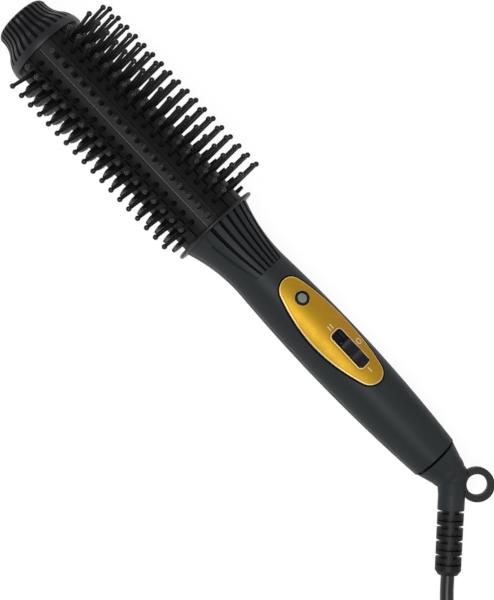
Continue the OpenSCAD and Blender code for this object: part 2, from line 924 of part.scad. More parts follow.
// Sprung brass leaves that reach up from the ledge to the slip rings
module contact_fingers() {
    t = 0.4;
    top = -ring_r - run_gap;
    color(brass) for (u = ring_us) {
        translate([0, 0, u + (ring_l - finger_w) / 2]) linear_extrude(finger_w) {
            polygon([[finger_foot_x, finger_y], [-3, finger_y], [0, top - t], [2.4, top - 1.2 - t],
                [2.4, top - 1.2], [0, top], [-3.2, finger_y + t], [finger_foot_x, finger_y + t]]);
        }
    }
}

module swivel_bush() {
    edge = 0.5;
    color("ivory") rotate_extrude() {
        polygon([[stub_r + running_gap, bush_u], [bush_r, bush_u], [bush_r, bush_u + bush_l - edge],
            [bush_r - edge, bush_u + bush_l], [stub_r + running_gap, bush_u + bush_l]]);
    }
}

module swivel_clip() {
    color("silver") translate([0, 0, clip_u]) linear_extrude(clip_t) difference() {
        circle(stub_r + 2);
        circle(clip_groove_r + 0.05);
        translate([0, -stub_r - 2]) square([2 * clip_groove_r * 0.8, 2 * stub_r], center = true);
    }
}

module slip_rings() {
    color(brass) for (u = ring_us) {
        translate([0, 0, u]) linear_extrude(ring_l) difference() {
            circle(ring_r);
            circle(stub_r + 0.1);
        }
    }
}

// The turned part of the elbow: the stub inside the handle, the cone and a ball
module elbow_profile() {
    l = elbow_ball_u - elbow_face_u;
    lean = acos(elbow_ball_r / norm([elbow_r, l])) - atan(l / elbow_r);
    inside = elbow_ball_r - profile_bite;
    cone_end = elbow_ball_u + inside * sin(lean);
    difference() {
        union() {
            polygon([[0, elbow_face_u], [elbow_r, elbow_face_u], [inside * cos(lean), cone_end],
                [0, cone_end]]);
            translate([0, stub_u]) square([stub_r, elbow_face_u + 1 - stub_u]);
            intersection() {
                translate([0, elbow_ball_u]) circle(elbow_ball_r, $fn = 96);
                translate([0, elbow_ball_u - elbow_ball_r / 2]) square(1.5 * elbow_ball_r);
            }
        }
        translate([clip_groove_r, clip_u - 0.05]) square([stub_r, clip_t + 0.1]);
    }
}

// The turned part of the arm: a ball at the bend, a short taper and the straight end
module arm_profile() {
    lean = asin((bend_ball_r - arm_r) / arm_taper_l);
    inside = bend_ball_r - profile_bite;
    intersection() {
        union() {
            circle(bend_ball_r, $fn = 96);
            polygon([[0, 0], [inside * cos(lean), inside * sin(lean)],
                [arm_r, arm_taper_l], [arm_r, arm_l], [0, arm_l]]);
        }
        translate([0, -bend_ball_r]) square([bend_ball_r, bend_ball_r + arm_l]);
    }
}

module loop_ring(r, t) {
    along(loop_at - loop_axis * t / 2, loop_axis) cylinder(h = t, r = r);
}

module socket_core(gap) {
    along(-socket_reach * out_dir, out_dir) cylinder(h = 2 * socket_reach, r = socket_core_r + gap);
}

module swivel_elbow() {
    color(dark_plastic) difference() {
        union() {
            on_axis() rotate_extrude() elbow_profile();
            at_elbow() along([0, 0, 0], out_dir) rotate_extrude() arm_profile();
        }
        on_axis() translate([0, 0, stub_u - 1]) cylinder(h = elbow_u + 1 - stub_u, r = lead_hole_r);
        at_elbow() {
            along(-out_dir, out_dir) cylinder(h = arm_l + 2, r = cord_hole_r);
            difference() {
                loop_ring(loop_r + 0.1, loop_t + 0.2);
                socket_core(0);
            }
            // Room for the hook that goes through the ring
            loop_ring(loop_bore_r + hook_room, 4 * elbow_ball_r);
        }
    }
}

module hang_loop() {
    color(cord_black) at_elbow() difference() {
        loop_ring(loop_r, loop_t);
        loop_ring(loop_bore_r, loop_t + 2);
        socket_core(0.1);
    }
}

// A sleeve whose slots cross, so that it bends all ways
module strain_relief() {
    end_r = arm_r - 0.2;
    chamfer = 2.2;
    pitch = 7.4;
    web = 3;
    core = cord_d / 2 + 0.9;
    color(cord_black) at_elbow() along(arm_l * out_dir, out_dir) difference() {
        union() {
            cylinder(h = relief_l - chamfer, r1 = arm_r - 0.1, r2 = end_r);
            translate([0, 0, relief_l - chamfer]) {
                cylinder(h = chamfer, r1 = end_r, r2 = end_r - chamfer * 0.7);
            }
        }
        translate([0, 0, -1]) cylinder(h = relief_l + 2, r = cord_hole_r);
        for (i = [0:7]) {
            at = 0.4 + i * pitch / 2;
            translate([0, 0, at]) rotate(relief_turn + 90 * (i % 2)) difference() {
                cylinder(h = relief_slot_w, r = 2 * arm_r);
                translate([0, 0, -1]) cylinder(h = relief_slot_w + 2, r = core);
                translate([-2 * arm_r, -web / 2, -1]) cube([4 * arm_r, web, relief_slot_w + 2]);
            }
        }
    }
}

// The coil spirals in on the table, climbs one layer and spirals out on top
function coil_point(t) =
    let (
        mid = coil_turns / 2,
        r = coil_r - coil_pitch * (mid - abs(t - mid)),
        climb = min(1, max(0, (t - mid) * 2 + 0.5)),
        a = coil_start_deg + 360 * t
    )
    [coil_centre[0] + r * cos(a), coil_centre[1] + r * sin(a),
        cord_z + coil_pitch * climb * climb * (3 - 2 * climb)];
coil_heading = [-sin(coil_start_deg), cos(coil_start_deg), 0];
coil_end_deg = coil_start_deg + 360 * coil_turns;
coil_leaving = [-sin(coil_end_deg), cos(coil_end_deg), 0];
coil_in = coil_point(0) - cord_d * coil_heading;
coil_out = coil_point(coil_turns) + cord_d * coil_leaving;
coil_steps = coil_turns * coil_rings;
coil_route = concat([coil_in], [for (i = [0:coil_steps]) coil_point(i / coil_rings)], [coil_out]);
coil_gap = min([for (i = [0:len(coil_route) - 1], j = [i + coil_rings / 3:len(coil_route) - 1])
    norm(coil_route[i] - coil_route[j])]) - cord_d;
echo(coil_least_gap = coil_gap);

module cord_lead() {
    color(cord_black) tube(concat(cord_route, [coil_in]), cord_d / 2, 12);
}

module cord_coil() {
    color(cord_black) tube(coil_route, cord_d / 2, 6, 30);
}

module cord_tail() {
    color(cord_black) tube(concat([coil_out], tail_route, [plug_at]), cord_d / 2, 12);
}

// A strap round both layers of the coil
module cord_tie() {
    in_r = coil_r - coil_pitch * coil_turns / 2 - cord_d / 2 - tie_t;
    out_r = coil_r + cord_d / 2 + tie_t;
    h = cord_z + coil_pitch + cord_d / 2 + run_gap;
    color("dimgray") translate([coil_centre[0], coil_centre[1], 0]) rotate(coil_start_deg + 45) {
        difference() {
            translate([in_r - tie_t, -4, 0]) cube([out_r - in_r + 2 * tie_t, 8, h + tie_t]);
            translate([in_r, -5, tie_t]) cube([out_r - in_r, 10, h - tie_t]);
        }
    }
}

module at_plug() translate(plug_at) rotate(coil_start_deg) children();

// A flat two-pin plug, narrower where the cord goes in
module plug_body() {
    neck_w = 12;
    neck_l = 10;
    corner = 3;
    color(black_plastic) at_plug() intersection() {
        linear_extrude(plug_t, center = true) {
            polygon([[0, -neck_w / 2 + 1], [neck_l, -neck_w / 2], [plug_l - 14, -plug_w / 2 + 1],
                [plug_l, -plug_w / 2], [plug_l, plug_w / 2], [plug_l - 14, plug_w / 2 - 1],
                [neck_l, neck_w / 2], [0, neck_w / 2 - 1]]);
        }
        rotate([0, 90, 0]) linear_extrude(plug_l) rounded_slot(plug_w, plug_t, corner);
    }
}

module plug_pins() {
    color(brass) at_plug() for (y = [-1, 1]) {
        translate([plug_l, y * plug_pin_spacing / 2, 0]) rotate([0, 90, 0]) {
            cylinder(h = plug_pin_l - 1, r = plug_pin_r);
            translate([0, 0, plug_pin_l - 1]) cylinder(h = 1, r1 = plug_pin_r, r2 = plug_pin_r - 0.7);
        }
    }
}

on_axis() tip_cap();
on_axis() heater_barrel();
for (i = PIN_ROWS) {
    on_axis() pin_strip(i);
}
for (i = FIN_ROWS) {
    on_axis() fin_strip(i);
}
on_axis() barrel_collar();
on_axis() heater_plate();
on_axis() heat_block(fuse_r + 0.2);  // heat_block_upper
on_axis() mirror([0, 1, 0]) heat_block(thermistor_r + 0.2);  // heat_block_lower
on_axis() thermal_fuse();
on_axis() thermistor();
heater_leads();
on_axis() handle_top_shell();
on_axis() handle_back_shell();
on_axis() shell_screws();
on_axis() control_panel();
on_axis() indicator_bezel();
on_axis() indicator_lens();
on_axis() indicator_lamp();
on_axis() switch_well();
on_axis() switch_knob();
on_axis() switch_body();
on_axis() circuit_board();
supply_leads();
on_axis() swivel_bush();
on_axis() swivel_clip();
on_axis() slip_rings();
on_axis() contact_fingers();
swivel_elbow();
hang_loop();
strain_relief();
cord_lead();
cord_coil();
cord_tail();
cord_tie();
plug_body();
plug_pins();
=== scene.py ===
# Dresses the heated styling brush: finishes, cord, panel marks, floor and studio light
from math import cos, pi, radians, sin, sqrt

import bmesh
import bpy
from mathutils import Matrix, Vector


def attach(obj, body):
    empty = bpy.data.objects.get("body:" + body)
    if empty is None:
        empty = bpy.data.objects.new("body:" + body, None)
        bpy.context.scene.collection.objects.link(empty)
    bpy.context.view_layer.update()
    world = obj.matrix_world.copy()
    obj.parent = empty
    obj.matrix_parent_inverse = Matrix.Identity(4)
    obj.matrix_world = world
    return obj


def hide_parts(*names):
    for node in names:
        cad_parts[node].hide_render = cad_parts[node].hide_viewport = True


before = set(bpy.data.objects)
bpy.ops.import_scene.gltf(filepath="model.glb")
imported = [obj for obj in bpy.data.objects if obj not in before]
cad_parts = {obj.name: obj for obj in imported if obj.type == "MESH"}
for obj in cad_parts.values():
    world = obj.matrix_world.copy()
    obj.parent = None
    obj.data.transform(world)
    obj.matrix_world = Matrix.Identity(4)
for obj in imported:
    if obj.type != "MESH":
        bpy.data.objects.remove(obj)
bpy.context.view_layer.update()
scene = bpy.context.scene
MM = 0.001
MICRON = MM / 1000

# Sizes that the scene shares with the part, in millimetres; a station is a distance from the tip
MID_X = 168.2649
AXIS_Z = 24.6
NECK_U = 143.85
HANDLE_END = 303.0
BELLY_U = 226.5
BELLY_R = 16.35
BELLY_CURVE_R = 839.0

# The panel, the lamp's hole and the switch's slot with its raised rim
PANEL_U = 220.6
PANEL_L = 69.0
PANEL_W = 22.8
PANEL_END_R = 7.2
PANEL_FACE_PROUD = 0.45
LAMP_U = PANEL_U - PANEL_L / 2 + 12.9
BEZEL_R = 3.7
SLOT_U = 233.2
SLOT_L = 22.3
SLOT_W = 7.1
SLOT_CORNER_R = 2.0
SLOT_RIM_W = 0.9

# The neck's grooves, with pairs for the head's end and the handle's end, and the cap's flutes
RIBS_L = 33.35
RIB_STEPS = (5.0, 2.8)
RIB_HALF_WIDTHS = (0.9, 0.55)
GROOVES_ASIDE = 2.5
FLUTES = 30
FLUTE_DEG = 5.5
FLUTE_L = 17.5
FLUTE_INSET = 0.3

# The outlet, the cord with its coil, and the tie; angles are in degrees
ELBOW_AT = Vector((316.5 - MID_X, 0, AXIS_Z))
OUT_DIR = Vector((19, -18, -8)).normalized()
ARM_L = 16.42
RELIEF_L = 33.0
CORD_D = 6.9
CORD_Z = 4.2
COIL_PITCH = 7.4
COIL_CENTRE = (287.0, -29.0)
COIL_START = 255.2
COIL_TURNS = 6.25
COIL_R = 50.8
TIE_T = 0.6
TIE_W = 8.0
TIE_BEND_R = 2.6
TIE_TURN = COIL_START + 45

# The plug; its sections are a distance from the cord's end, a width, a thickness and a squareness
PLUG_AT = Vector((263.9, -6.5, 22.0))
PLUG_L = 34.0
PLUG_W = 35.3
PLUG_T = 13.7
PLUG_SECTIONS = [
    (0.0, 8.6, 8.6, 2.0), (0.35, 9.4, 9.4, 2.0), (2.6, 9.8, 9.8, 2.0), (3.0, 9.2, 9.2, 2.0),
    (3.5, 9.2, 9.2, 2.0), (3.9, 10.6, 10.4, 2.1), (6.0, 11.6, 11.0, 2.2), (9.5, 13.4, 12.0, 2.5),
    (13.0, 20.0, 13.0, 3.0), (16.0, 27.5, 13.5, 3.4), (19.0, 33.2, PLUG_T, 3.8),
    (21.0, 34.6, PLUG_T, 4.0), (26.0, 35.0, PLUG_T, 4.2), (31.0, PLUG_W, PLUG_T, 4.4),
    (PLUG_L - 1.0, PLUG_W, PLUG_T, 4.4), (PLUG_L - 0.3, PLUG_W - 0.5, PLUG_T - 0.5, 4.4),
    (PLUG_L, PLUG_W - 1.4, PLUG_T - 1.4, 4.4),
]

# The cord's route from the sleeve to the coil, and from the coil up to the plug
LEAD_ROUTE = [
    *(tuple(ELBOW_AT + OUT_DIR * (ARM_L + l)) for l in (0, RELIEF_L / 2, RELIEF_L + 0.3)),
    (189, -38.6, 7.45), (196.5, -45, 5.2), (210, -56, CORD_Z), (225, -64, CORD_Z),
    (239.5, -69, CORD_Z), (253.5, -72.7, CORD_Z),
]
TAIL_ROUTE = [
    (337.7, -22.2, 12.8), (332.2, -5.5, 15.2), (321.9, 10.3, 17.6), (306.8, 19.8, 19.2),
    (287.8, 20.3, 20.2), (273.8, 12.4, 21.2), (265.6, 0.2, 22),
]


def along(u, right, up):
    """A point of the brush: its station, its distance to the panel's right and above the axis."""
    return Vector(((u - MID_X) * MM, -right * MM, (AXIS_Z + up) * MM))


# Camera, above the brush's side and turned so that the tip is at the top left
CAMERA_AT = Vector((9.23, -303.18, 714.61))
CAMERA_AIM = Vector((12.77, -12.87, 18.8))
CAMERA_LEAN = 24
LENS = 90
SENSOR_W = 36
CLIP = (0.01, 20)
# How much of the brush's length and of its width points down in the picture
LENGTH_DOWN, WIDTH_DOWN = 0.7268, 0.6869


def place_camera():
    back = (CAMERA_AT - CAMERA_AIM).normalized()
    lean = radians(CAMERA_LEAN)
    width = Vector((0, -cos(lean), -sin(lean)))
    up = -(LENGTH_DOWN * Vector((1, 0, 0)) + WIDTH_DOWN * width)
    right = up.cross(back).normalized()
    up = back.cross(right)
    data = bpy.data.cameras.new("studio_camera")
    data.lens = LENS
    data.sensor_width = SENSOR_W
    data.clip_start, data.clip_end = CLIP
    camera = bpy.data.objects.new("studio_camera", data)
    scene.collection.objects.link(camera)
    facing = Matrix((right, up, back)).transposed().to_4x4()
    camera.matrix_world = Matrix.Translation(CAMERA_AT * MM) @ facing
    scene.camera = camera


place_camera()


# Shader node groups
def linear(code):
    """A colour written as six hex digits, as the renderer's linear values."""
    parts = [int(code[i:i + 2], 16) / 255 for i in (0, 2, 4)]
    return (*(c / 12.92 if c <= 0.04045 else ((c + 0.055) / 1.055) ** 2.4 for c in parts), 1.0)


NODE_GAP = 180


class Wiring:
    """Short words for adding and joining nodes in one tree."""

    def __init__(self, tree):
        self.tree = tree
        self.column = 0

    def add(self, kind, **values):
        """A new node: words with set_ are its settings, the others are values on its sockets."""
        node = self.tree.nodes.new(kind)
        self.column += NODE_GAP
        node.location = (self.column, 0)
        for name, value in values.items():
            if name.startswith("set_"):
                setattr(node, name[4:], value)
            else:
                node.inputs[name.replace("_", " ")].default_value = value
        return node

    def join(self, source, target):
        self.tree.links.new(source, target)

    def feed(self, target, value):
        """Joins a socket to the target, or writes a plain value on it."""
        if isinstance(value, bpy.types.NodeSocket):
            self.join(value, target)
        else:
            target.default_value = value

    def maths(self, operation, a, b=0.0, clamp=False):
        node = self.add("ShaderNodeMath", set_operation=operation, set_use_clamp=clamp)
        self.feed(node.inputs[0], a)
        self.feed(node.inputs[1], b)
        return node.outputs[0]

    def plus(self, a, b, clamp=False):
        return self.maths("ADD", a, b, clamp)

    def minus(self, a, b):
        return self.maths("SUBTRACT", a, b)

    def times(self, a, b, clamp=False):
        return self.maths("MULTIPLY", a, b, clamp)

    def over(self, a, b, clamp=False):
        return self.maths("DIVIDE", a, b, clamp)

    def size(self, a):
        return self.maths("ABSOLUTE", a)

    def most(self, a, b):
        return self.maths("MAXIMUM", a, b)

    def length(self, a, b):
        return self.maths("SQRT", self.plus(self.times(a, a), self.times(b, b)))

    def above(self, a, b, soft):
        """One where a is above b and nought where it is below, with a soft edge."""
        return self.plus(self.over(self.minus(a, b), soft), 0.5, clamp=True)

    def band(self, value, low, high, soft):
        """One between two values and nought outside them, with soft edges."""
        return self.times(self.above(value, low, soft), self.above(high, value, soft))

    def strip(self, value, low, high, soft=0.2):
        """A band whose edges are given in millimetres."""
        return self.band(value, low * MM, high * MM, soft * MM)

    def mix(self, factor, first, second):
        node = self.add("ShaderNodeMix", set_data_type="RGBA")
        self.feed(node.inputs[0], factor)
        self.feed(node.inputs[6], first)
        self.feed(node.inputs[7], second)
        return node.outputs[2]

    def spot(self):
        """The point on the piece in the part's own frame, in metres."""
        return self.add("ShaderNodeTexCoord").outputs["Object"]

    def place(self):
        """The same point as three values."""
        split = self.add("ShaderNodeSeparateXYZ")
        self.join(self.spot(), split.inputs[0])
        return split.outputs

    def noise(self, where, scale, **values):
        node = self.add("ShaderNodeTexNoise", **values)
        self.join(where, node.inputs["Vector"])
        self.join(scale, node.inputs["Scale"])
        return node.outputs["Fac"]


FLOAT, COLOUR = "NodeSocketFloat", "NodeSocketColor"
GREY = (0.5, 0.5, 0.5, 1)


def new_group(name, takes, gives):
    """An empty group with its sockets; the inputs come with a default value."""
    tree = bpy.data.node_groups.new(name, "ShaderNodeTree")
    for label, kind, value in takes:
        socket = tree.interface.new_socket(label, in_out="INPUT", socket_type=kind)
        socket.default_value = value
    for label, kind in gives:
        tree.interface.new_socket(label, in_out="OUTPUT", socket_type=kind)
    w = Wiring(tree)
    return tree, w, w.add("NodeGroupInput").outputs, w.add("NodeGroupOutput").inputs


def make_moulded_grain():
    """The fine grain of a moulded surface, as a height."""
    tree, w, takes, gives = new_group(
        "moulded_grain", [("Count per Metre", FLOAT, 2600.0)], [("Height", FLOAT)])
    finer, fine_share = 2.7, 0.45
    where = w.spot()
    coarse = w.noise(where, takes["Count per Metre"], Detail=2.0)
    fine = w.noise(where, w.times(takes["Count per Metre"], finer), Detail=1.0)
    w.join(w.plus(coarse, w.times(fine, fine_share)), gives["Height"])
    return tree


def make_tone_drift():
    """Lets a colour and a roughness wander a little over a surface, as handling leaves them."""
    tree, w, takes, gives = new_group(
        "tone_drift",
        [("Colour", COLOUR, GREY), ("Worn Colour", COLOUR, GREY), ("Amount", FLOAT, 0.3),
         ("Roughness", FLOAT, 0.4), ("Spread", FLOAT, 0.08), ("Patches per Metre", FLOAT, 40.0)],
        [("Colour", COLOUR), ("Roughness", FLOAT)])
    finer, broad_share, small_share = 9.0, 0.7, 0.3
    worn_from, worn_slope = 0.35, 2.5
    where = w.spot()
    broad = w.noise(where, takes["Patches per Metre"], Detail=3.0, Roughness=0.6)
    small = w.noise(where, w.times(takes["Patches per Metre"], finer), Detail=2.0)
    patch = w.plus(w.times(broad, broad_share), w.times(small, small_share))
    worn = w.times(w.minus(patch, worn_from), worn_slope, clamp=True)
    factor = w.times(worn, takes["Amount"])
    w.join(w.mix(factor, takes["Colour"], takes["Worn Colour"]), gives["Colour"])
    wander = w.times(w.minus(patch, 0.5), w.times(takes["Spread"], 2.0))
    w.join(w.plus(takes["Roughness"], wander, clamp=True), gives["Roughness"])
    return tree


def make_drawn_lines():
    """Fine lines along the brush, as drawing or brushing leaves on metal, as a height."""
    tree, w, takes, gives = new_group(
        "drawn_lines", [("Count per Metre", FLOAT, 5000.0)], [("Height", FLOAT)])
    stretch = 0.03
    x, y, z = w.place()
    stretched = w.add("ShaderNodeCombineXYZ")
    for value, socket in zip((w.times(x, stretch), y, z), stretched.inputs):
        w.join(value, socket)
    w.join(w.noise(stretched.outputs[0], takes["Count per Metre"], Detail=2.0), gives["Height"])
    return tree


def make_woven_tape():
    """The over and under of a narrow woven tape, as a mask and a height."""
    tree, w, takes, gives = new_group(
        "woven_tape", [("Weave Scale", FLOAT, 1.0)], [("Mask", FLOAT), ("Height", FLOAT)])
    weft_height = 0.6
    where = w.add("ShaderNodeTexCoord").outputs["UV"]
    waves = []
    for direction in ("X", "Y"):
        wave = w.add("ShaderNodeTexWave", set_bands_direction=direction)
        w.join(where, wave.inputs["Vector"])
        w.join(takes["Weave Scale"], wave.inputs["Scale"])
        waves.append(wave.outputs["Fac"])
    cross = w.times(*waves)
    w.join(cross, gives["Mask"])
    w.join(w.most(cross, w.times(waves[1], weft_height)), gives["Height"])
    return tree


def make_oval_depth():
    """How far inside an oval outline a point is: two long arcs closed by two round ends."""
    tree, w, takes, gives = new_group(
        "oval_depth",
        [("Centre", FLOAT, 0.0), ("Half Width", FLOAT, 0.011), ("Side Radius", FLOAT, 0.1),
         ("End Radius", FLOAT, 0.007), ("End Centre", FLOAT, 0.027)],
        [("Depth", FLOAT)])
    x, y, _ = w.place()
    x = w.size(w.minus(x, takes["Centre"]))
    y = w.size(y)
    offset = w.minus(takes["Side Radius"], takes["Half Width"])
    reach = w.plus(y, offset)
    side = w.minus(takes["Side Radius"], w.length(x, reach))
    end = w.minus(takes["End Radius"], w.length(w.minus(x, takes["End Centre"]), y))
    at_end = w.maths("GREATER_THAN", w.times(x, offset), w.times(reach, takes["End Centre"]))
    w.join(w.plus(side, w.times(at_end, w.minus(end, side))), gives["Depth"])
    return tree


def make_slot_distance():
    """How far outside a rounded slot's outline a point is."""
    tree, w, takes, gives = new_group(
        "slot_distance",
        [("Centre", FLOAT, 0.0), ("Half Length", FLOAT, 0.011), ("Half Width", FLOAT, 0.004),
         ("Corner Radius", FLOAT, 0.002)],
        [("Distance", FLOAT)])
    x, y, _ = w.place()
    x = w.minus(x, takes["Centre"])
    past = [w.minus(w.size(at), w.minus(takes[half], takes["Corner Radius"]))
            for at, half in ((x, "Half Length"), (y, "Half Width"))]
    outside = w.length(w.most(past[0], 0.0), w.most(past[1], 0.0))
    inside = w.maths("MINIMUM", w.most(*past), 0.0)
    w.join(w.minus(w.plus(outside, inside), takes["Corner Radius"]), gives["Distance"])
    return tree


GROUPS = {
    "oval_depth": make_oval_depth(),
    "slot_distance": make_slot_distance(),
    "moulded_grain": make_moulded_grain(),
    "tone_drift": make_tone_drift(),
    "drawn_lines": make_drawn_lines(),
    "woven_tape": make_woven_tape(),
}


# Finishes
# The near black of painted shade down in grooves, flutes and joints
DEEP_SHADE_BLACK = "040405"
# The painted shade in the joints, by depth inside the panel's outline and by distance past the handle's
# end
PANEL_JOINT_SHADE = (-0.9, 1.0)
OUTLET_JOINT_SHADE = (-0.45, 0.6)
# The painted highlight, a pale line on either side of the plane where the shells meet
PARTING_HIGHLIGHT = (0.2, 0.55)
PARTING_HIGHLIGHT_STRENGTH = 0.5
# The comb's painted shade goes from full to none between these distances from the axis
COMB_SHADE_FULL_R = 21.0
COMB_SHADE_END_R = 29.0
COMB_SHADE_ROUGHENED = 0.22
# The gold's painted shade, a browner second colour, grows to the left by this much per metre, from its
# share at the middle
GOLD_SHADE_PER_METRE = 30.0
GOLD_SHADE_AT_MIDDLE = 0.35
# Painted shade at the foot of the slot's rim
RIM_FOOT_SHADE_STRENGTH = 0.5
# Painted highlights: the share on the lamp hole's edge and the strength on all pale edges
HOLE_HIGHLIGHT_SHARE = 0.6
EDGE_HIGHLIGHT_STRENGTH = 0.75


def use_group(w, name, **values):
    node = w.add("ShaderNodeGroup", set_node_tree=GROUPS[name])
    for label, value in values.items():
        node.inputs[label.replace("_", " ")].default_value = value
    return node


def start_finish(name, **shader_values):
    material = bpy.data.materials.new(name)
    material.use_nodes = True
    material.node_tree.nodes.clear()
    w = Wiring(material.node_tree)
    shader = w.add("ShaderNodeBsdfPrincipled", **shader_values)
    out = w.add("ShaderNodeOutputMaterial")
    w.join(shader.outputs[0], out.inputs[0])
    return material, w, shader


def lay_tone(w, shader, colour, worn, amount, roughness, spread, patches):
    """A colour and a roughness that drift a little over the surface."""
    drift = use_group(w, "tone_drift", Colour=linear(colour), Worn_Colour=linear(worn), Amount=amount,
                      Roughness=roughness, Spread=spread, Patches_per_Metre=patches)
    w.join(drift.outputs["Colour"], shader.inputs["Base Color"])
    w.join(drift.outputs["Roughness"], shader.inputs["Roughness"])
    return drift


def add_bump(w, shader, height, depth):
    """Relief from a height, with its depth in thousandths of a millimetre."""
    bump = w.add("ShaderNodeBump", Strength=1.0, Distance=depth * MICRON)
    w.join(height, bump.inputs["Height"])
    w.join(bump.outputs[0], shader.inputs["Normal"])


def lay_relief(w, shader, group, per_metre, depth):
    """The moulded grain or the drawn lines, so many to a metre."""
    relief = use_group(w, group, Count_per_Metre=per_metre)
    add_bump(w, shader, relief.outputs["Height"], depth)


def lay_moulding(w, shader, colour, worn, roughness, grain=2600.0, depth=20):
    """What moulded plastic and rubber have: a slight drift of tone and a fine grain."""
    lay_tone(w, shader, colour, worn, amount=0.4, roughness=roughness, spread=0.06, patches=40.0)
    lay_relief(w, shader, "moulded_grain", grain, depth)


def moulded(name, colour, worn, roughness, grain=2600.0, depth=20, **shader_values):
    """A moulded plastic or rubber with nothing else laid over it."""
    material, w, shader = start_finish(name, **shader_values)
    lay_moulding(w, shader, colour, worn, roughness, grain, depth)
    return material


def drawn_metal(name, colour, worn, roughness, metallic=1.0):
    """A metal with fine lines along the brush."""
    material, w, shader = start_finish(name, Metallic=metallic)
    lay_tone(w, shader, colour, worn, amount=0.3, roughness=roughness, spread=0.1, patches=60.0)
    lay_relief(w, shader, "drawn_lines", per_metre=5000.0, depth=10)
    return material


def recolour(w, shader, mask, colour):
    """Lays a colour over what already feeds the base colour, where the mask says."""
    socket = shader.inputs["Base Color"]
    below = socket.links[0].from_socket
    w.join(w.mix(mask, below, linear(colour)), socket)


def paint_deep_shade(w, shader, mask):
    """Painted shade: near black and fully matt where the mask says, as shade falls down in a groove."""
    recolour(w, shader, mask, DEEP_SHADE_BLACK)
    socket = shader.inputs["Roughness"]
    w.join(w.most(socket.links[0].from_socket, mask), socket)


def panel_depth(w):
    """How far inside the panel's outline a point is, in metres."""
    half_l, half_w, end_r = PANEL_L / 2, PANEL_W / 2, PANEL_END_R
    side_r = (half_l ** 2 + half_w ** 2 - 2 * half_l * end_r) / (2 * (half_w - end_r))
    node = use_group(w, "oval_depth", Centre=(PANEL_U - MID_X) * MM, Half_Width=half_w * MM,
                     Side_Radius=side_r * MM, End_Radius=end_r * MM, End_Centre=(half_l - end_r) * MM)
    return node.outputs["Depth"]


def hole_distance(w, u, long, wide, corner_r):
    """How far outside a rounded hole on the panel's middle line a point is, in metres."""
    node = use_group(w, "slot_distance", Centre=(u - MID_X) * MM, Half_Length=long / 2 * MM,
                     Half_Width=wide / 2 * MM, Corner_Radius=corner_r * MM)
    return node.outputs["Distance"]


def rib_grooves(w, x, y):
    """Where the neck's five grooves are, which close up towards the handle."""
    share = w.over(w.minus(x, (NECK_U - MID_X) * MM), RIBS_L * MM)
    step, half = (w.plus(w.times(share, (last - first) * MM), first * MM)
                  for first, last in (RIB_STEPS, RIB_HALF_WIDTHS))
    count = w.over(w.size(y), step)
    off = w.times(w.size(w.minus(count, w.maths("ROUND", count))), step)
    lengthwise = w.band(share, low=-0.1, high=0.985, soft=0.01)
    on_ribs = w.times(lengthwise, w.maths("LESS_THAN", count, GROOVES_ASIDE))
    return w.times(w.above(half, off, 0.3 * MM), on_ribs)


def make_cap_finish():
    """Satin grey plastic, with painted shade down in the cap's flutes."""
    material, w, shader = start_finish("satin_cap", Specular_IOR_Level=0.35)
    lay_moulding(w, shader, "252529", "2e2e33", 0.42)
    x, y, z = w.place()
    turn = w.maths("ARCTAN2", w.minus(z, AXIS_Z * MM), y)
    part = w.maths("FRACT", w.plus(w.times(turn, FLUTES / (2 * pi)), FLUTES))
    half = FLUTE_DEG * FLUTES / 720
    across = w.band(part, 0.5 - half, 0.5 + half, soft=0.06)
    lengthwise = w.strip(x, FLUTE_INSET - MID_X, FLUTE_L - FLUTE_INSET - MID_X, soft=0.6)
    # Painted shade down in the flutes
    paint_deep_shade(w, shader, w.times(across, lengthwise))
    return material


def make_shell_finish():
    """Soft-touch black, with painted shade in the joints and the neck's grooves, and a painted
    highlight, a paler line, where the shells meet.
    """
    material, w, shader = start_finish("soft_touch_shell", Specular_IOR_Level=0.15)
    lay_moulding(w, shader, "2c3032", "34383a", 0.48)
    x, y, z = w.place()
    height = w.minus(z, AXIS_Z * MM)
    panel_side = w.maths("GREATER_THAN", height, 0.0)
    end = HANDLE_END - MID_X
    before_outlet = w.maths("LESS_THAN", x, (end - 0.5) * MM)
    # Painted highlight along the line where the shells meet
    parting_highlight = w.times(w.strip(w.size(height), *PARTING_HIGHLIGHT), before_outlet)
    recolour(w, shader, w.times(parting_highlight, PARTING_HIGHLIGHT_STRENGTH), "8b9092")
    # Painted shade in the gaps round the panel and at the outlet, and down in the neck's grooves
    panel_joint_shade = w.times(w.strip(panel_depth(w), *PANEL_JOINT_SHADE, soft=0.3), panel_side)
    outlet_joint_shade = w.strip(x, end + OUTLET_JOINT_SHADE[0], end + OUTLET_JOINT_SHADE[1])
    grooves = w.times(rib_grooves(w, x, y), panel_side)
    paint_deep_shade(w, shader, w.most(grooves, w.most(panel_joint_shade, outlet_joint_shade)))
    return material


def make_comb_finish():
    """Black plastic with painted shade: near black and matt down at the plates, fading to its own grey
    out on the pins.
    """
    material, w, shader = start_finish("comb_black", Specular_IOR_Level=0.3)
    drift = lay_tone(w, shader, "242426", "303033", amount=0.5, roughness=0.34, spread=0.08,
                     patches=90.0)
    lay_relief(w, shader, "moulded_grain", per_metre=1800.0, depth=8)
    _, y, z = w.place()
    from_axis = w.length(y, w.minus(z, AXIS_Z * MM))
    out = w.over(w.minus(from_axis, COMB_SHADE_FULL_R * MM), (COMB_SHADE_END_R - COMB_SHADE_FULL_R) * MM, clamp=True)
    # Painted shade: near black down at the plates, fading out towards the pins
    plate_shade = w.minus(1.0, out)
    recolour(w, shader, plate_shade, "040404")
    rough = w.plus(drift.outputs["Roughness"], w.times(plate_shade, COMB_SHADE_ROUGHENED), clamp=True)
    w.join(rough, shader.inputs["Roughness"])
    return material


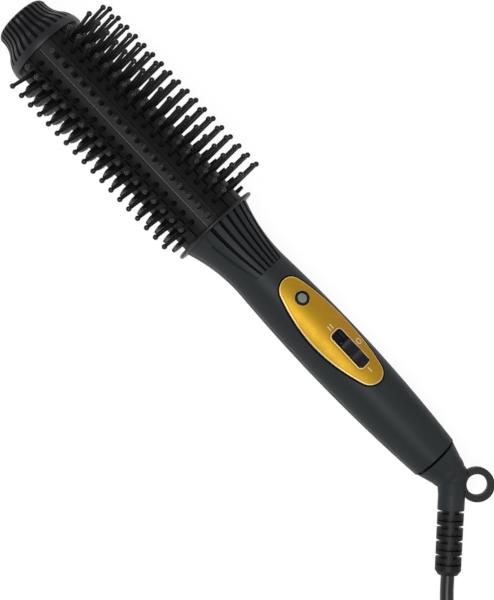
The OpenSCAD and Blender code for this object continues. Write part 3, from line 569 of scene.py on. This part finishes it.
def make_panel_finish():
    """Gold lacquer over fine lines, with painted highlights on the edges of the panel, the slot and the
    lamp's hole, and painted shade on one side, at the slot rim's foot and on the slot's wall.
    """
    material, w, shader = start_finish("panel_gold", Metallic=0.5)
    lay_tone(w, shader, "cca40c", "bd8a10", amount=0.6, roughness=0.54, spread=0.1, patches=110.0)
    lay_relief(w, shader, "drawn_lines", per_metre=2600.0, depth=4)
    _, y, _ = w.place()
    # Painted shade: the gold turns browner towards its left side
    gold_side_shade = w.plus(w.times(y, GOLD_SHADE_PER_METRE), GOLD_SHADE_AT_MIDDLE, clamp=True)
    recolour(w, shader, gold_side_shade, "c0821c")
    slot = hole_distance(w, SLOT_U, SLOT_L, SLOT_W, SLOT_CORNER_R)
    hole = hole_distance(w, LAMP_U, 2 * BEZEL_R, 2 * BEZEL_R, BEZEL_R)
    # Painted highlights on the panel's edge, the slot's rim and the lamp hole's edge
    edge = w.strip(panel_depth(w), 0.0, 0.5)
    rim = w.strip(slot, 0.1 * SLOT_RIM_W, 0.75 * SLOT_RIM_W)
    ring = w.times(w.strip(hole, 0.0, 0.4), HOLE_HIGHLIGHT_SHARE)
    pale = w.most(edge, w.most(rim, ring))
    # Painted shade at the rim's foot and, near black, on the slot's wall
    rim_foot_shade = w.strip(slot, SLOT_RIM_W, SLOT_RIM_W + 0.3)
    slot_wall_shade = w.strip(slot, -1.0, 0.06, soft=0.05)
    recolour(w, shader, w.times(rim_foot_shade, RIM_FOOT_SHADE_STRENGTH), "7a5410")
    recolour(w, shader, w.times(pale, EDGE_HIGHLIGHT_STRENGTH), "ffe3a6")
    recolour(w, shader, slot_wall_shade, "0c0a06")
    return material


def make_tape_finish():
    """The tie's woven tape."""
    material, w, shader = start_finish("tie_tape", Sheen_Weight=0.3, Sheen_Roughness=0.5, Roughness=0.8)
    weave = use_group(w, "woven_tape", Weave_Scale=1.0)
    thread = w.mix(weave.outputs["Mask"], linear("151517"), linear("333338"))
    w.join(thread, shader.inputs["Base Color"])
    add_bump(w, shader, weave.outputs["Height"], depth=100)
    return material


def make_mark_finish():
    """The marks' paint, a little uneven."""
    material, w, shader = start_finish("mark_cream")
    lay_tone(w, shader, "e9d9a8", "d9c48c", amount=0.5, roughness=0.5, spread=0.05, patches=900.0)
    return material


FINISHES = {
    "soft_touch_shell": make_shell_finish(),
    "satin_cap": make_cap_finish(),
    "comb_black": make_comb_finish(),
    "collar_black": moulded("collar_black", "191c1e", "222528", 0.42, Specular_IOR_Level=0.35),
    "barrel_metal": drawn_metal("barrel_metal", "45474a", "37383b", 0.46, metallic=0.8),
    "block_metal": drawn_metal("block_metal", "c9cbce", "a9acb0", 0.28),
    "panel_gold": make_panel_finish(),
    "trim_black": moulded("trim_black", "0e0e10", "1b1b1e", 0.3, grain=2200.0, depth=10),
    "knob_black": moulded("knob_black", "121214", "1e1e21", 0.36, grain=2400.0, depth=10),
    "frosted_lens": moulded("frosted_lens", "86867d", "77786f", 0.34, grain=3000.0, depth=10,
                            Subsurface_Weight=0.2, Subsurface_Scale=0.001),
    "cord_black": moulded("cord_black", "0f1011", "1a1b1d", 0.4, grain=1500.0),
    "relief_black": moulded("relief_black", "0f1011", "1a1b1d", 0.5, grain=1800.0,
                            Specular_IOR_Level=0.25),
    "plug_black": moulded("plug_black", "121315", "202124", 0.42, grain=2200.0, depth=30),
    "screw_steel": drawn_metal("screw_steel", "8d9094", "6f7276", 0.32),
    "contact_brass": drawn_metal("contact_brass", "c9a34a", "a8853a", 0.3),
    "pin_nickel": drawn_metal("pin_nickel", "c8c6bf", "aaa8a0", 0.25),
    "ceramic_white": moulded("ceramic_white", "dedbd2", "cfcbc0", 0.5, grain=1200.0, depth=30),
    "wire_sleeve": moulded("wire_sleeve", "d8d5ca", "bdb9ac", 0.6, grain=3000.0, depth=40),
    "board_green": moulded("board_green", "123f27", "0d3120", 0.35, grain=900.0, depth=10),
    "tie_tape": make_tape_finish(),
    "mark_cream": make_mark_finish(),
}

# The comb's strips, which aren't named here, are all comb_black
FINISH_OF = {
    "tip_cap": "satin_cap", "heater_barrel": "barrel_metal", "barrel_collar": "collar_black",
    "heater_plate": "ceramic_white", "heat_block_upper": "block_metal",
    "heat_block_lower": "block_metal", "thermal_fuse": "screw_steel", "thermistor": "screw_steel",
    "heater_leads": "wire_sleeve", "handle_top_shell": "soft_touch_shell",
    "handle_back_shell": "soft_touch_shell", "shell_screws": "screw_steel",
    "control_panel": "panel_gold", "indicator_bezel": "trim_black",
    "indicator_lens": "frosted_lens", "indicator_lamp": "frosted_lens", "switch_well": "trim_black",
    "switch_knob": "knob_black", "switch_body": "ceramic_white", "circuit_board": "board_green",
    "supply_leads": "wire_sleeve", "swivel_bush": "trim_black", "swivel_clip": "screw_steel",
    "slip_rings": "contact_brass", "contact_fingers": "contact_brass",
    "swivel_elbow": "soft_touch_shell", "hang_loop": "relief_black",
    "strain_relief": "relief_black", "cord_lead": "cord_black", "cord_coil": "cord_black",
    "cord_tail": "cord_black", "cord_tie": "tie_tape", "plug_body": "plug_black",
    "plug_pins": "pin_nickel",
}
for node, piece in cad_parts.items():
    finish = FINISHES[FINISH_OF.get(node, "comb_black")]
    for holder in piece.material_slots:
        holder.material = finish


# Pieces, with the fineness of their forms
ROUTE_STEP = 3.0
TURN_STEPS = 36
BEND_STEP_DEG = 15
PLUG_SIDES = 64
WEAVE_PER_MM = 0.25
MERGE = 1e-7


def add_piece(name, data, finish, body, smooth=True):
    """Puts a mesh or a curve in the scene, on its body and in its material slot."""
    piece = bpy.data.objects.new(name, data)
    scene.collection.objects.link(piece)
    data.materials.append(FINISHES[finish])
    if smooth and hasattr(data, "polygons"):
        for face in data.polygons:
            face.use_smooth = True
    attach(piece, body)
    return piece


def mesh_of(name, form):
    mesh = bpy.data.meshes.new(name)
    form.to_mesh(mesh)
    form.free()
    return mesh


def loft(form, rings):
    """Skins closed rings of equal length; a first ring that comes again at the end closes the loop."""
    rows = [[form.verts.new(p) for p in ring] for ring in rings]
    count = len(rows[0])
    for a, b in zip(rows, rows[1:]):
        for i in range(count):
            j = (i + 1) % count
            form.faces.new((a[i], a[j], b[j], b[i]))
    if rings[0] is rings[-1]:
        bmesh.ops.remove_doubles(form, verts=rows[0] + rows[-1], dist=MERGE)
    else:
        form.faces.new(list(reversed(rows[0])))
        form.faces.new(rows[-1])


def between(p, q, at_p, at_q, t):
    """The point at a time t on the straight line that is at p and at q at their own times."""
    return (at_q - t) / (at_q - at_p) * p + (t - at_p) / (at_q - at_p) * q


def smooth_route(points):
    """A smooth line through the points, sampled every few millimetres."""
    points = [Vector(p) for p in points]
    before = points[0] * 2 - points[1]
    after = points[-1] * 2 - points[-2]
    full = [before] + points + [after]
    line = []
    for a, b, c, d in zip(full, full[1:], full[2:], full[3:]):
        t0, t1 = 0.0, (b - a).length ** 0.5
        t2 = t1 + (c - b).length ** 0.5
        t3 = t2 + (d - c).length ** 0.5
        count = max(1, round((c - b).length / ROUTE_STEP))
        for k in range(count):
            t = t1 + (t2 - t1) * k / count
            ab, bc, cd = between(a, b, t0, t1, t), between(b, c, t1, t2, t), between(c, d, t2, t3, t)
            abc, bcd = between(ab, bc, t0, t2, t), between(bc, cd, t1, t3, t)
            line.append(between(abc, bcd, t1, t2, t))
    line.append(points[-1])
    return line


def coil_point(t):
    """The coil after t turns: it spirals in on the table, climbs one layer and spirals out on top."""
    mid = COIL_TURNS / 2
    r = COIL_R - COIL_PITCH * (mid - abs(t - mid))
    climb = min(1.0, max(0.0, (t - mid) * 2 + 0.5))
    a = radians(COIL_START + 360 * t)
    return Vector((COIL_CENTRE[0] + r * cos(a), COIL_CENTRE[1] + r * sin(a),
                   CORD_Z + COIL_PITCH * climb * climb * (3 - 2 * climb)))


def coil_heading(t):
    """The cord's direction on the coil after t turns."""
    a = radians(COIL_START + 360 * t)
    return Vector((-sin(a), cos(a), 0))


def make_cord():
    """One length of lead: out of the sleeve, along the table, round the coil and up to the plug."""
    coil_in = coil_point(0) - CORD_D * coil_heading(0)
    coil_out = coil_point(COIL_TURNS) + CORD_D * coil_heading(COIL_TURNS)
    turns = [coil_point(i / TURN_STEPS) for i in range(int(TURN_STEPS * COIL_TURNS) + 1)]
    lead = smooth_route(LEAD_ROUTE + [coil_in, turns[0]])[:-1]
    tail = smooth_route([turns[-1], coil_out] + TAIL_ROUTE + [PLUG_AT])[1:]
    points = [p * MM for p in lead + turns + tail]
    data = bpy.data.curves.new("mains_cord", "CURVE")
    data.dimensions = "3D"
    data.bevel_depth = CORD_D / 2 * MM
    data.bevel_resolution = 6
    data.use_fill_caps = True
    spline = data.splines.new("POLY")
    spline.points.add(len(points) - 1)
    for slot, p in zip(spline.points, points):
        slot.co = (*p, 1)
    spline.use_smooth = True
    piece = add_piece("mains_cord", data, "cord_black", "outlet")
    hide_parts("cord_lead", "cord_coil", "cord_tail")
    return piece, points, sum((b - a).length for a, b in zip(points, points[1:]))


def tie_line():
    """The middle of the tape: a rounded rectangle round both layers, across the coil's wall."""
    low = TIE_T / 2 + TIE_BEND_R
    high = CORD_Z + COIL_PITCH + CORD_D / 2 + TIE_T - TIE_BEND_R
    inner = COIL_R - COIL_PITCH * COIL_TURNS / 2 - CORD_D / 2 - TIE_T / 2 + TIE_BEND_R
    outer = COIL_R + CORD_D / 2 + TIE_T / 2 - TIE_BEND_R
    line = []
    for x, z, start in ((outer, low, -90), (outer, high, 0), (inner, high, 90), (inner, low, 180)):
        for turned in range(0, 91, BEND_STEP_DEG):
            a = radians(start + turned)
            line.append(Vector((x + TIE_BEND_R * cos(a), 0, z + TIE_BEND_R * sin(a))))
    return line


def make_tie():
    """A woven tape strap round both layers of the coil."""
    half_w, half_t, edge = TIE_W / 2, TIE_T / 2, TIE_T / 4
    section = [(-half_w, -edge), (-half_w, edge), (half_t - half_w, half_t), (half_w - half_t, half_t),
               (half_w, edge), (half_w, -edge), (half_w - half_t, -half_t), (half_t - half_w, -half_t)]
    turned = Matrix.Rotation(radians(TIE_TURN), 4, "Z")
    to_coil = Matrix.Translation((*COIL_CENTRE, 0)) @ turned
    line = tie_line()
    rings = []
    for i, p in enumerate(line):
        heading = (line[(i + 1) % len(line)] - line[i - 1]).normalized()
        out = Vector((heading.z, 0, -heading.x))
        rings.append([(to_coil @ (p + Vector((0, y, 0)) + out * t)) * MM for y, t in section])
    rings.append(rings[0])
    form = bmesh.new()
    loft(form, rings)
    layer = form.loops.layers.uv.new("tape")
    from_coil = to_coil.inverted()
    for face in form.faces:
        for corner in face.loops:
            local = from_coil @ (corner.vert.co / MM)
            corner[layer].uv = (local.y * WEAVE_PER_MM, (local.x + local.z) * WEAVE_PER_MM)
    bmesh.ops.recalc_face_normals(form, faces=form.faces)
    piece = add_piece("coil_tie", mesh_of("coil_tie", form), "tie_tape", "outlet")
    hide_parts("cord_tie")
    return piece


def plug_place(x, y, z):
    """A point of the plug, from its distance along, across and above its own middle line."""
    a = radians(COIL_START)
    return (PLUG_AT + Vector((x * cos(a) - y * sin(a), x * sin(a) + y * cos(a), z))) * MM


def rounded(share, square, width):
    """A point across a rounded rectangle, from the cosine or sine of its angle round the middle."""
    sign = 1 if share >= 0 else -1
    return abs(share) ** (2 / square) * sign * width / 2


def make_plug():
    """The flat two-pin plug's moulded body, with a short collar round the cord."""
    form = bmesh.new()
    angles = [2 * pi * k / PLUG_SIDES for k in range(PLUG_SIDES)]
    loft(form, [
        [plug_place(x, rounded(cos(a), square, wide), rounded(sin(a), square, thick)) for a in angles]
        for x, wide, thick, square in PLUG_SECTIONS])
    bmesh.ops.recalc_face_normals(form, faces=form.faces)
    piece = add_piece("plug_moulding", mesh_of("plug_moulding", form), "plug_black", "outlet")
    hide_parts("plug_body")
    return piece


cord, cord_points, cord_length = make_cord()
tie = make_tie()
plug = make_plug()


# Marks on the panel, each painted a little above its face
MARK_GAP = 0.012
MARK_T = 0.05
BAR_L = 3.2
BAR_W = 0.5
BAR_STEPS = 12
BAR_END_W = 0.06
RING_R = 1.6
RING_HOLE_R = 1.1
RING_SIDES = 40
# The bars stand this far past the slot's ends, the two of II this far from its middle line
BAR_PAST_SLOT = 3.0
BARS_ASIDE = 0.9
RING_PAST_MIDDLE = 0.5
RING_ASIDE = -6.8


def on_panel(u, v, lift):
    """A point at a height above the panel's face, from its station and its distance aside."""
    belly = BELLY_R - BELLY_CURVE_R + sqrt(BELLY_CURVE_R ** 2 - (u - BELLY_U) ** 2)
    r = belly + PANEL_FACE_PROUD + MARK_GAP
    return along(u, v, sqrt(r * r - v * v) + lift)


def mark_ring(form, u, v):
    """The O, a flat painted ring."""
    angles = [2 * pi * k / RING_SIDES for k in range(RING_SIDES)]
    rings = [[on_panel(u + r * cos(a), v + r * sin(a), lift) for a in angles]
             for r, lift in ((RING_HOLE_R, 0), (RING_HOLE_R, MARK_T), (RING_R, MARK_T), (RING_R, 0))]
    rings.append(rings[0])
    loft(form, rings)


def mark_bar(form, u, v):
    """A short painted bar along the brush, with rounded ends."""
    rings = []
    for k in range(BAR_STEPS + 1):
        x = (k / BAR_STEPS - 0.5) * BAR_L
        near = min(BAR_L / 2 - abs(x), BAR_W / 2)
        half = sqrt(max(0.0, (BAR_W / 2) ** 2 - (BAR_W / 2 - near) ** 2))
        half = max(half, BAR_END_W / 2)
        rings.append([on_panel(u + x, v + side * half, lift)
                      for side, lift in ((-1, 0), (-1, MARK_T), (1, MARK_T), (1, 0))])
    loft(form, rings)


def make_marks():
    """The three switch marks: II towards the head, I towards the cord, O beside the slot's middle."""
    form = bmesh.new()
    bar_from_middle = SLOT_L / 2 + BAR_PAST_SLOT
    for v in (-BARS_ASIDE, BARS_ASIDE):
        mark_bar(form, SLOT_U - bar_from_middle, v)
    mark_bar(form, SLOT_U + bar_from_middle, 0.0)
    mark_ring(form, SLOT_U + RING_PAST_MIDDLE, RING_ASIDE)
    bmesh.ops.recalc_face_normals(form, faces=form.faces)
    add_piece("switch_marks", mesh_of("switch_marks", form), "mark_cream", "brush",
              smooth=False)


make_marks()


# Floor, world and lamps
WHITE = (1, 1, 1, 1)
FLOOR_SHADE = (0.6, 0.6, 0.6, 1)
FLOOR_GLOW = 1.17
FLOOR_GLOW_SHARE = 0.78
FLOOR_HALF = 6
FLOOR_Z = -0.0002
WORLD_LIGHT = 0.16
LAMP_AIM = Vector((0, 0, 0.02))


def make_floor_finish():
    """A plain pale surface: seen directly or in a reflection it is near white, yet takes a shadow."""
    material = bpy.data.materials.new("floor_white")
    material.use_nodes = True
    material.node_tree.nodes.clear()
    w = Wiring(material.node_tree)
    matte = w.add("ShaderNodeBsdfDiffuse", Color=FLOOR_SHADE)
    glow = w.add("ShaderNodeEmission", Color=WHITE, Strength=FLOOR_GLOW)
    path = w.add("ShaderNodeLightPath").outputs
    seen = w.most(path["Is Camera Ray"], w.most(path["Is Glossy Ray"], path["Is Transmission Ray"]))
    blend = w.add("ShaderNodeMixShader")
    w.join(w.times(seen, FLOOR_GLOW_SHARE), blend.inputs[0])
    w.join(matte.outputs[0], blend.inputs[1])
    w.join(glow.outputs[0], blend.inputs[2])
    out = w.add("ShaderNodeOutputMaterial")
    w.join(blend.outputs[0], out.inputs[0])
    return material


def make_floor():
    form = bmesh.new()
    bmesh.ops.create_grid(form, x_segments=2, y_segments=2, size=FLOOR_HALF)
    mesh = mesh_of("studio_floor", form)
    mesh.materials.append(make_floor_finish())
    floor = bpy.data.objects.new("studio_floor", mesh)
    scene.collection.objects.link(floor)
    floor.location = (0, 0, FLOOR_Z)


def make_world():
    """Soft even light, with plain white where the camera sees past the floor."""
    world = bpy.data.worlds.new("studio_world")
    world.use_nodes = True
    world.node_tree.nodes.clear()
    w = Wiring(world.node_tree)
    soft = w.add("ShaderNodeBackground", Color=WHITE, Strength=WORLD_LIGHT)
    white = w.add("ShaderNodeBackground", Color=WHITE, Strength=1.0)
    path = w.add("ShaderNodeLightPath").outputs
    blend = w.add("ShaderNodeMixShader")
    w.join(w.most(path["Is Camera Ray"], path["Is Transmission Ray"]), blend.inputs[0])
    w.join(soft.outputs[0], blend.inputs[1])
    w.join(white.outputs[0], blend.inputs[2])
    out = w.add("ShaderNodeOutputWorld")
    w.join(blend.outputs[0], out.inputs[0])
    scene.world = world


def make_lamp(name, spot, size, power):
    """A softbox that faces the brush."""
    data = bpy.data.lights.new(name, "AREA")
    data.shape = "RECTANGLE"
    data.size, data.size_y = size
    data.energy = power
    lamp = bpy.data.objects.new(name, data)
    scene.collection.objects.link(lamp)
    lamp.location = spot
    lamp.rotation_euler = (LAMP_AIM - Vector(spot)).to_track_quat("-Z", "Y").to_euler()


make_floor()
make_world()
make_lamp("key_softbox", (0.02, -0.6, 1.0), (0.9, 0.3), 9.5)
make_lamp("fill_softbox", (0.9, 0.5, 0.8), (0.9, 0.9), 2.5)
make_lamp("rim_softbox", (-0.4, 0.95, 0.5), (1.0, 0.4), 2.0)

scene.view_settings.view_transform = "Standard"
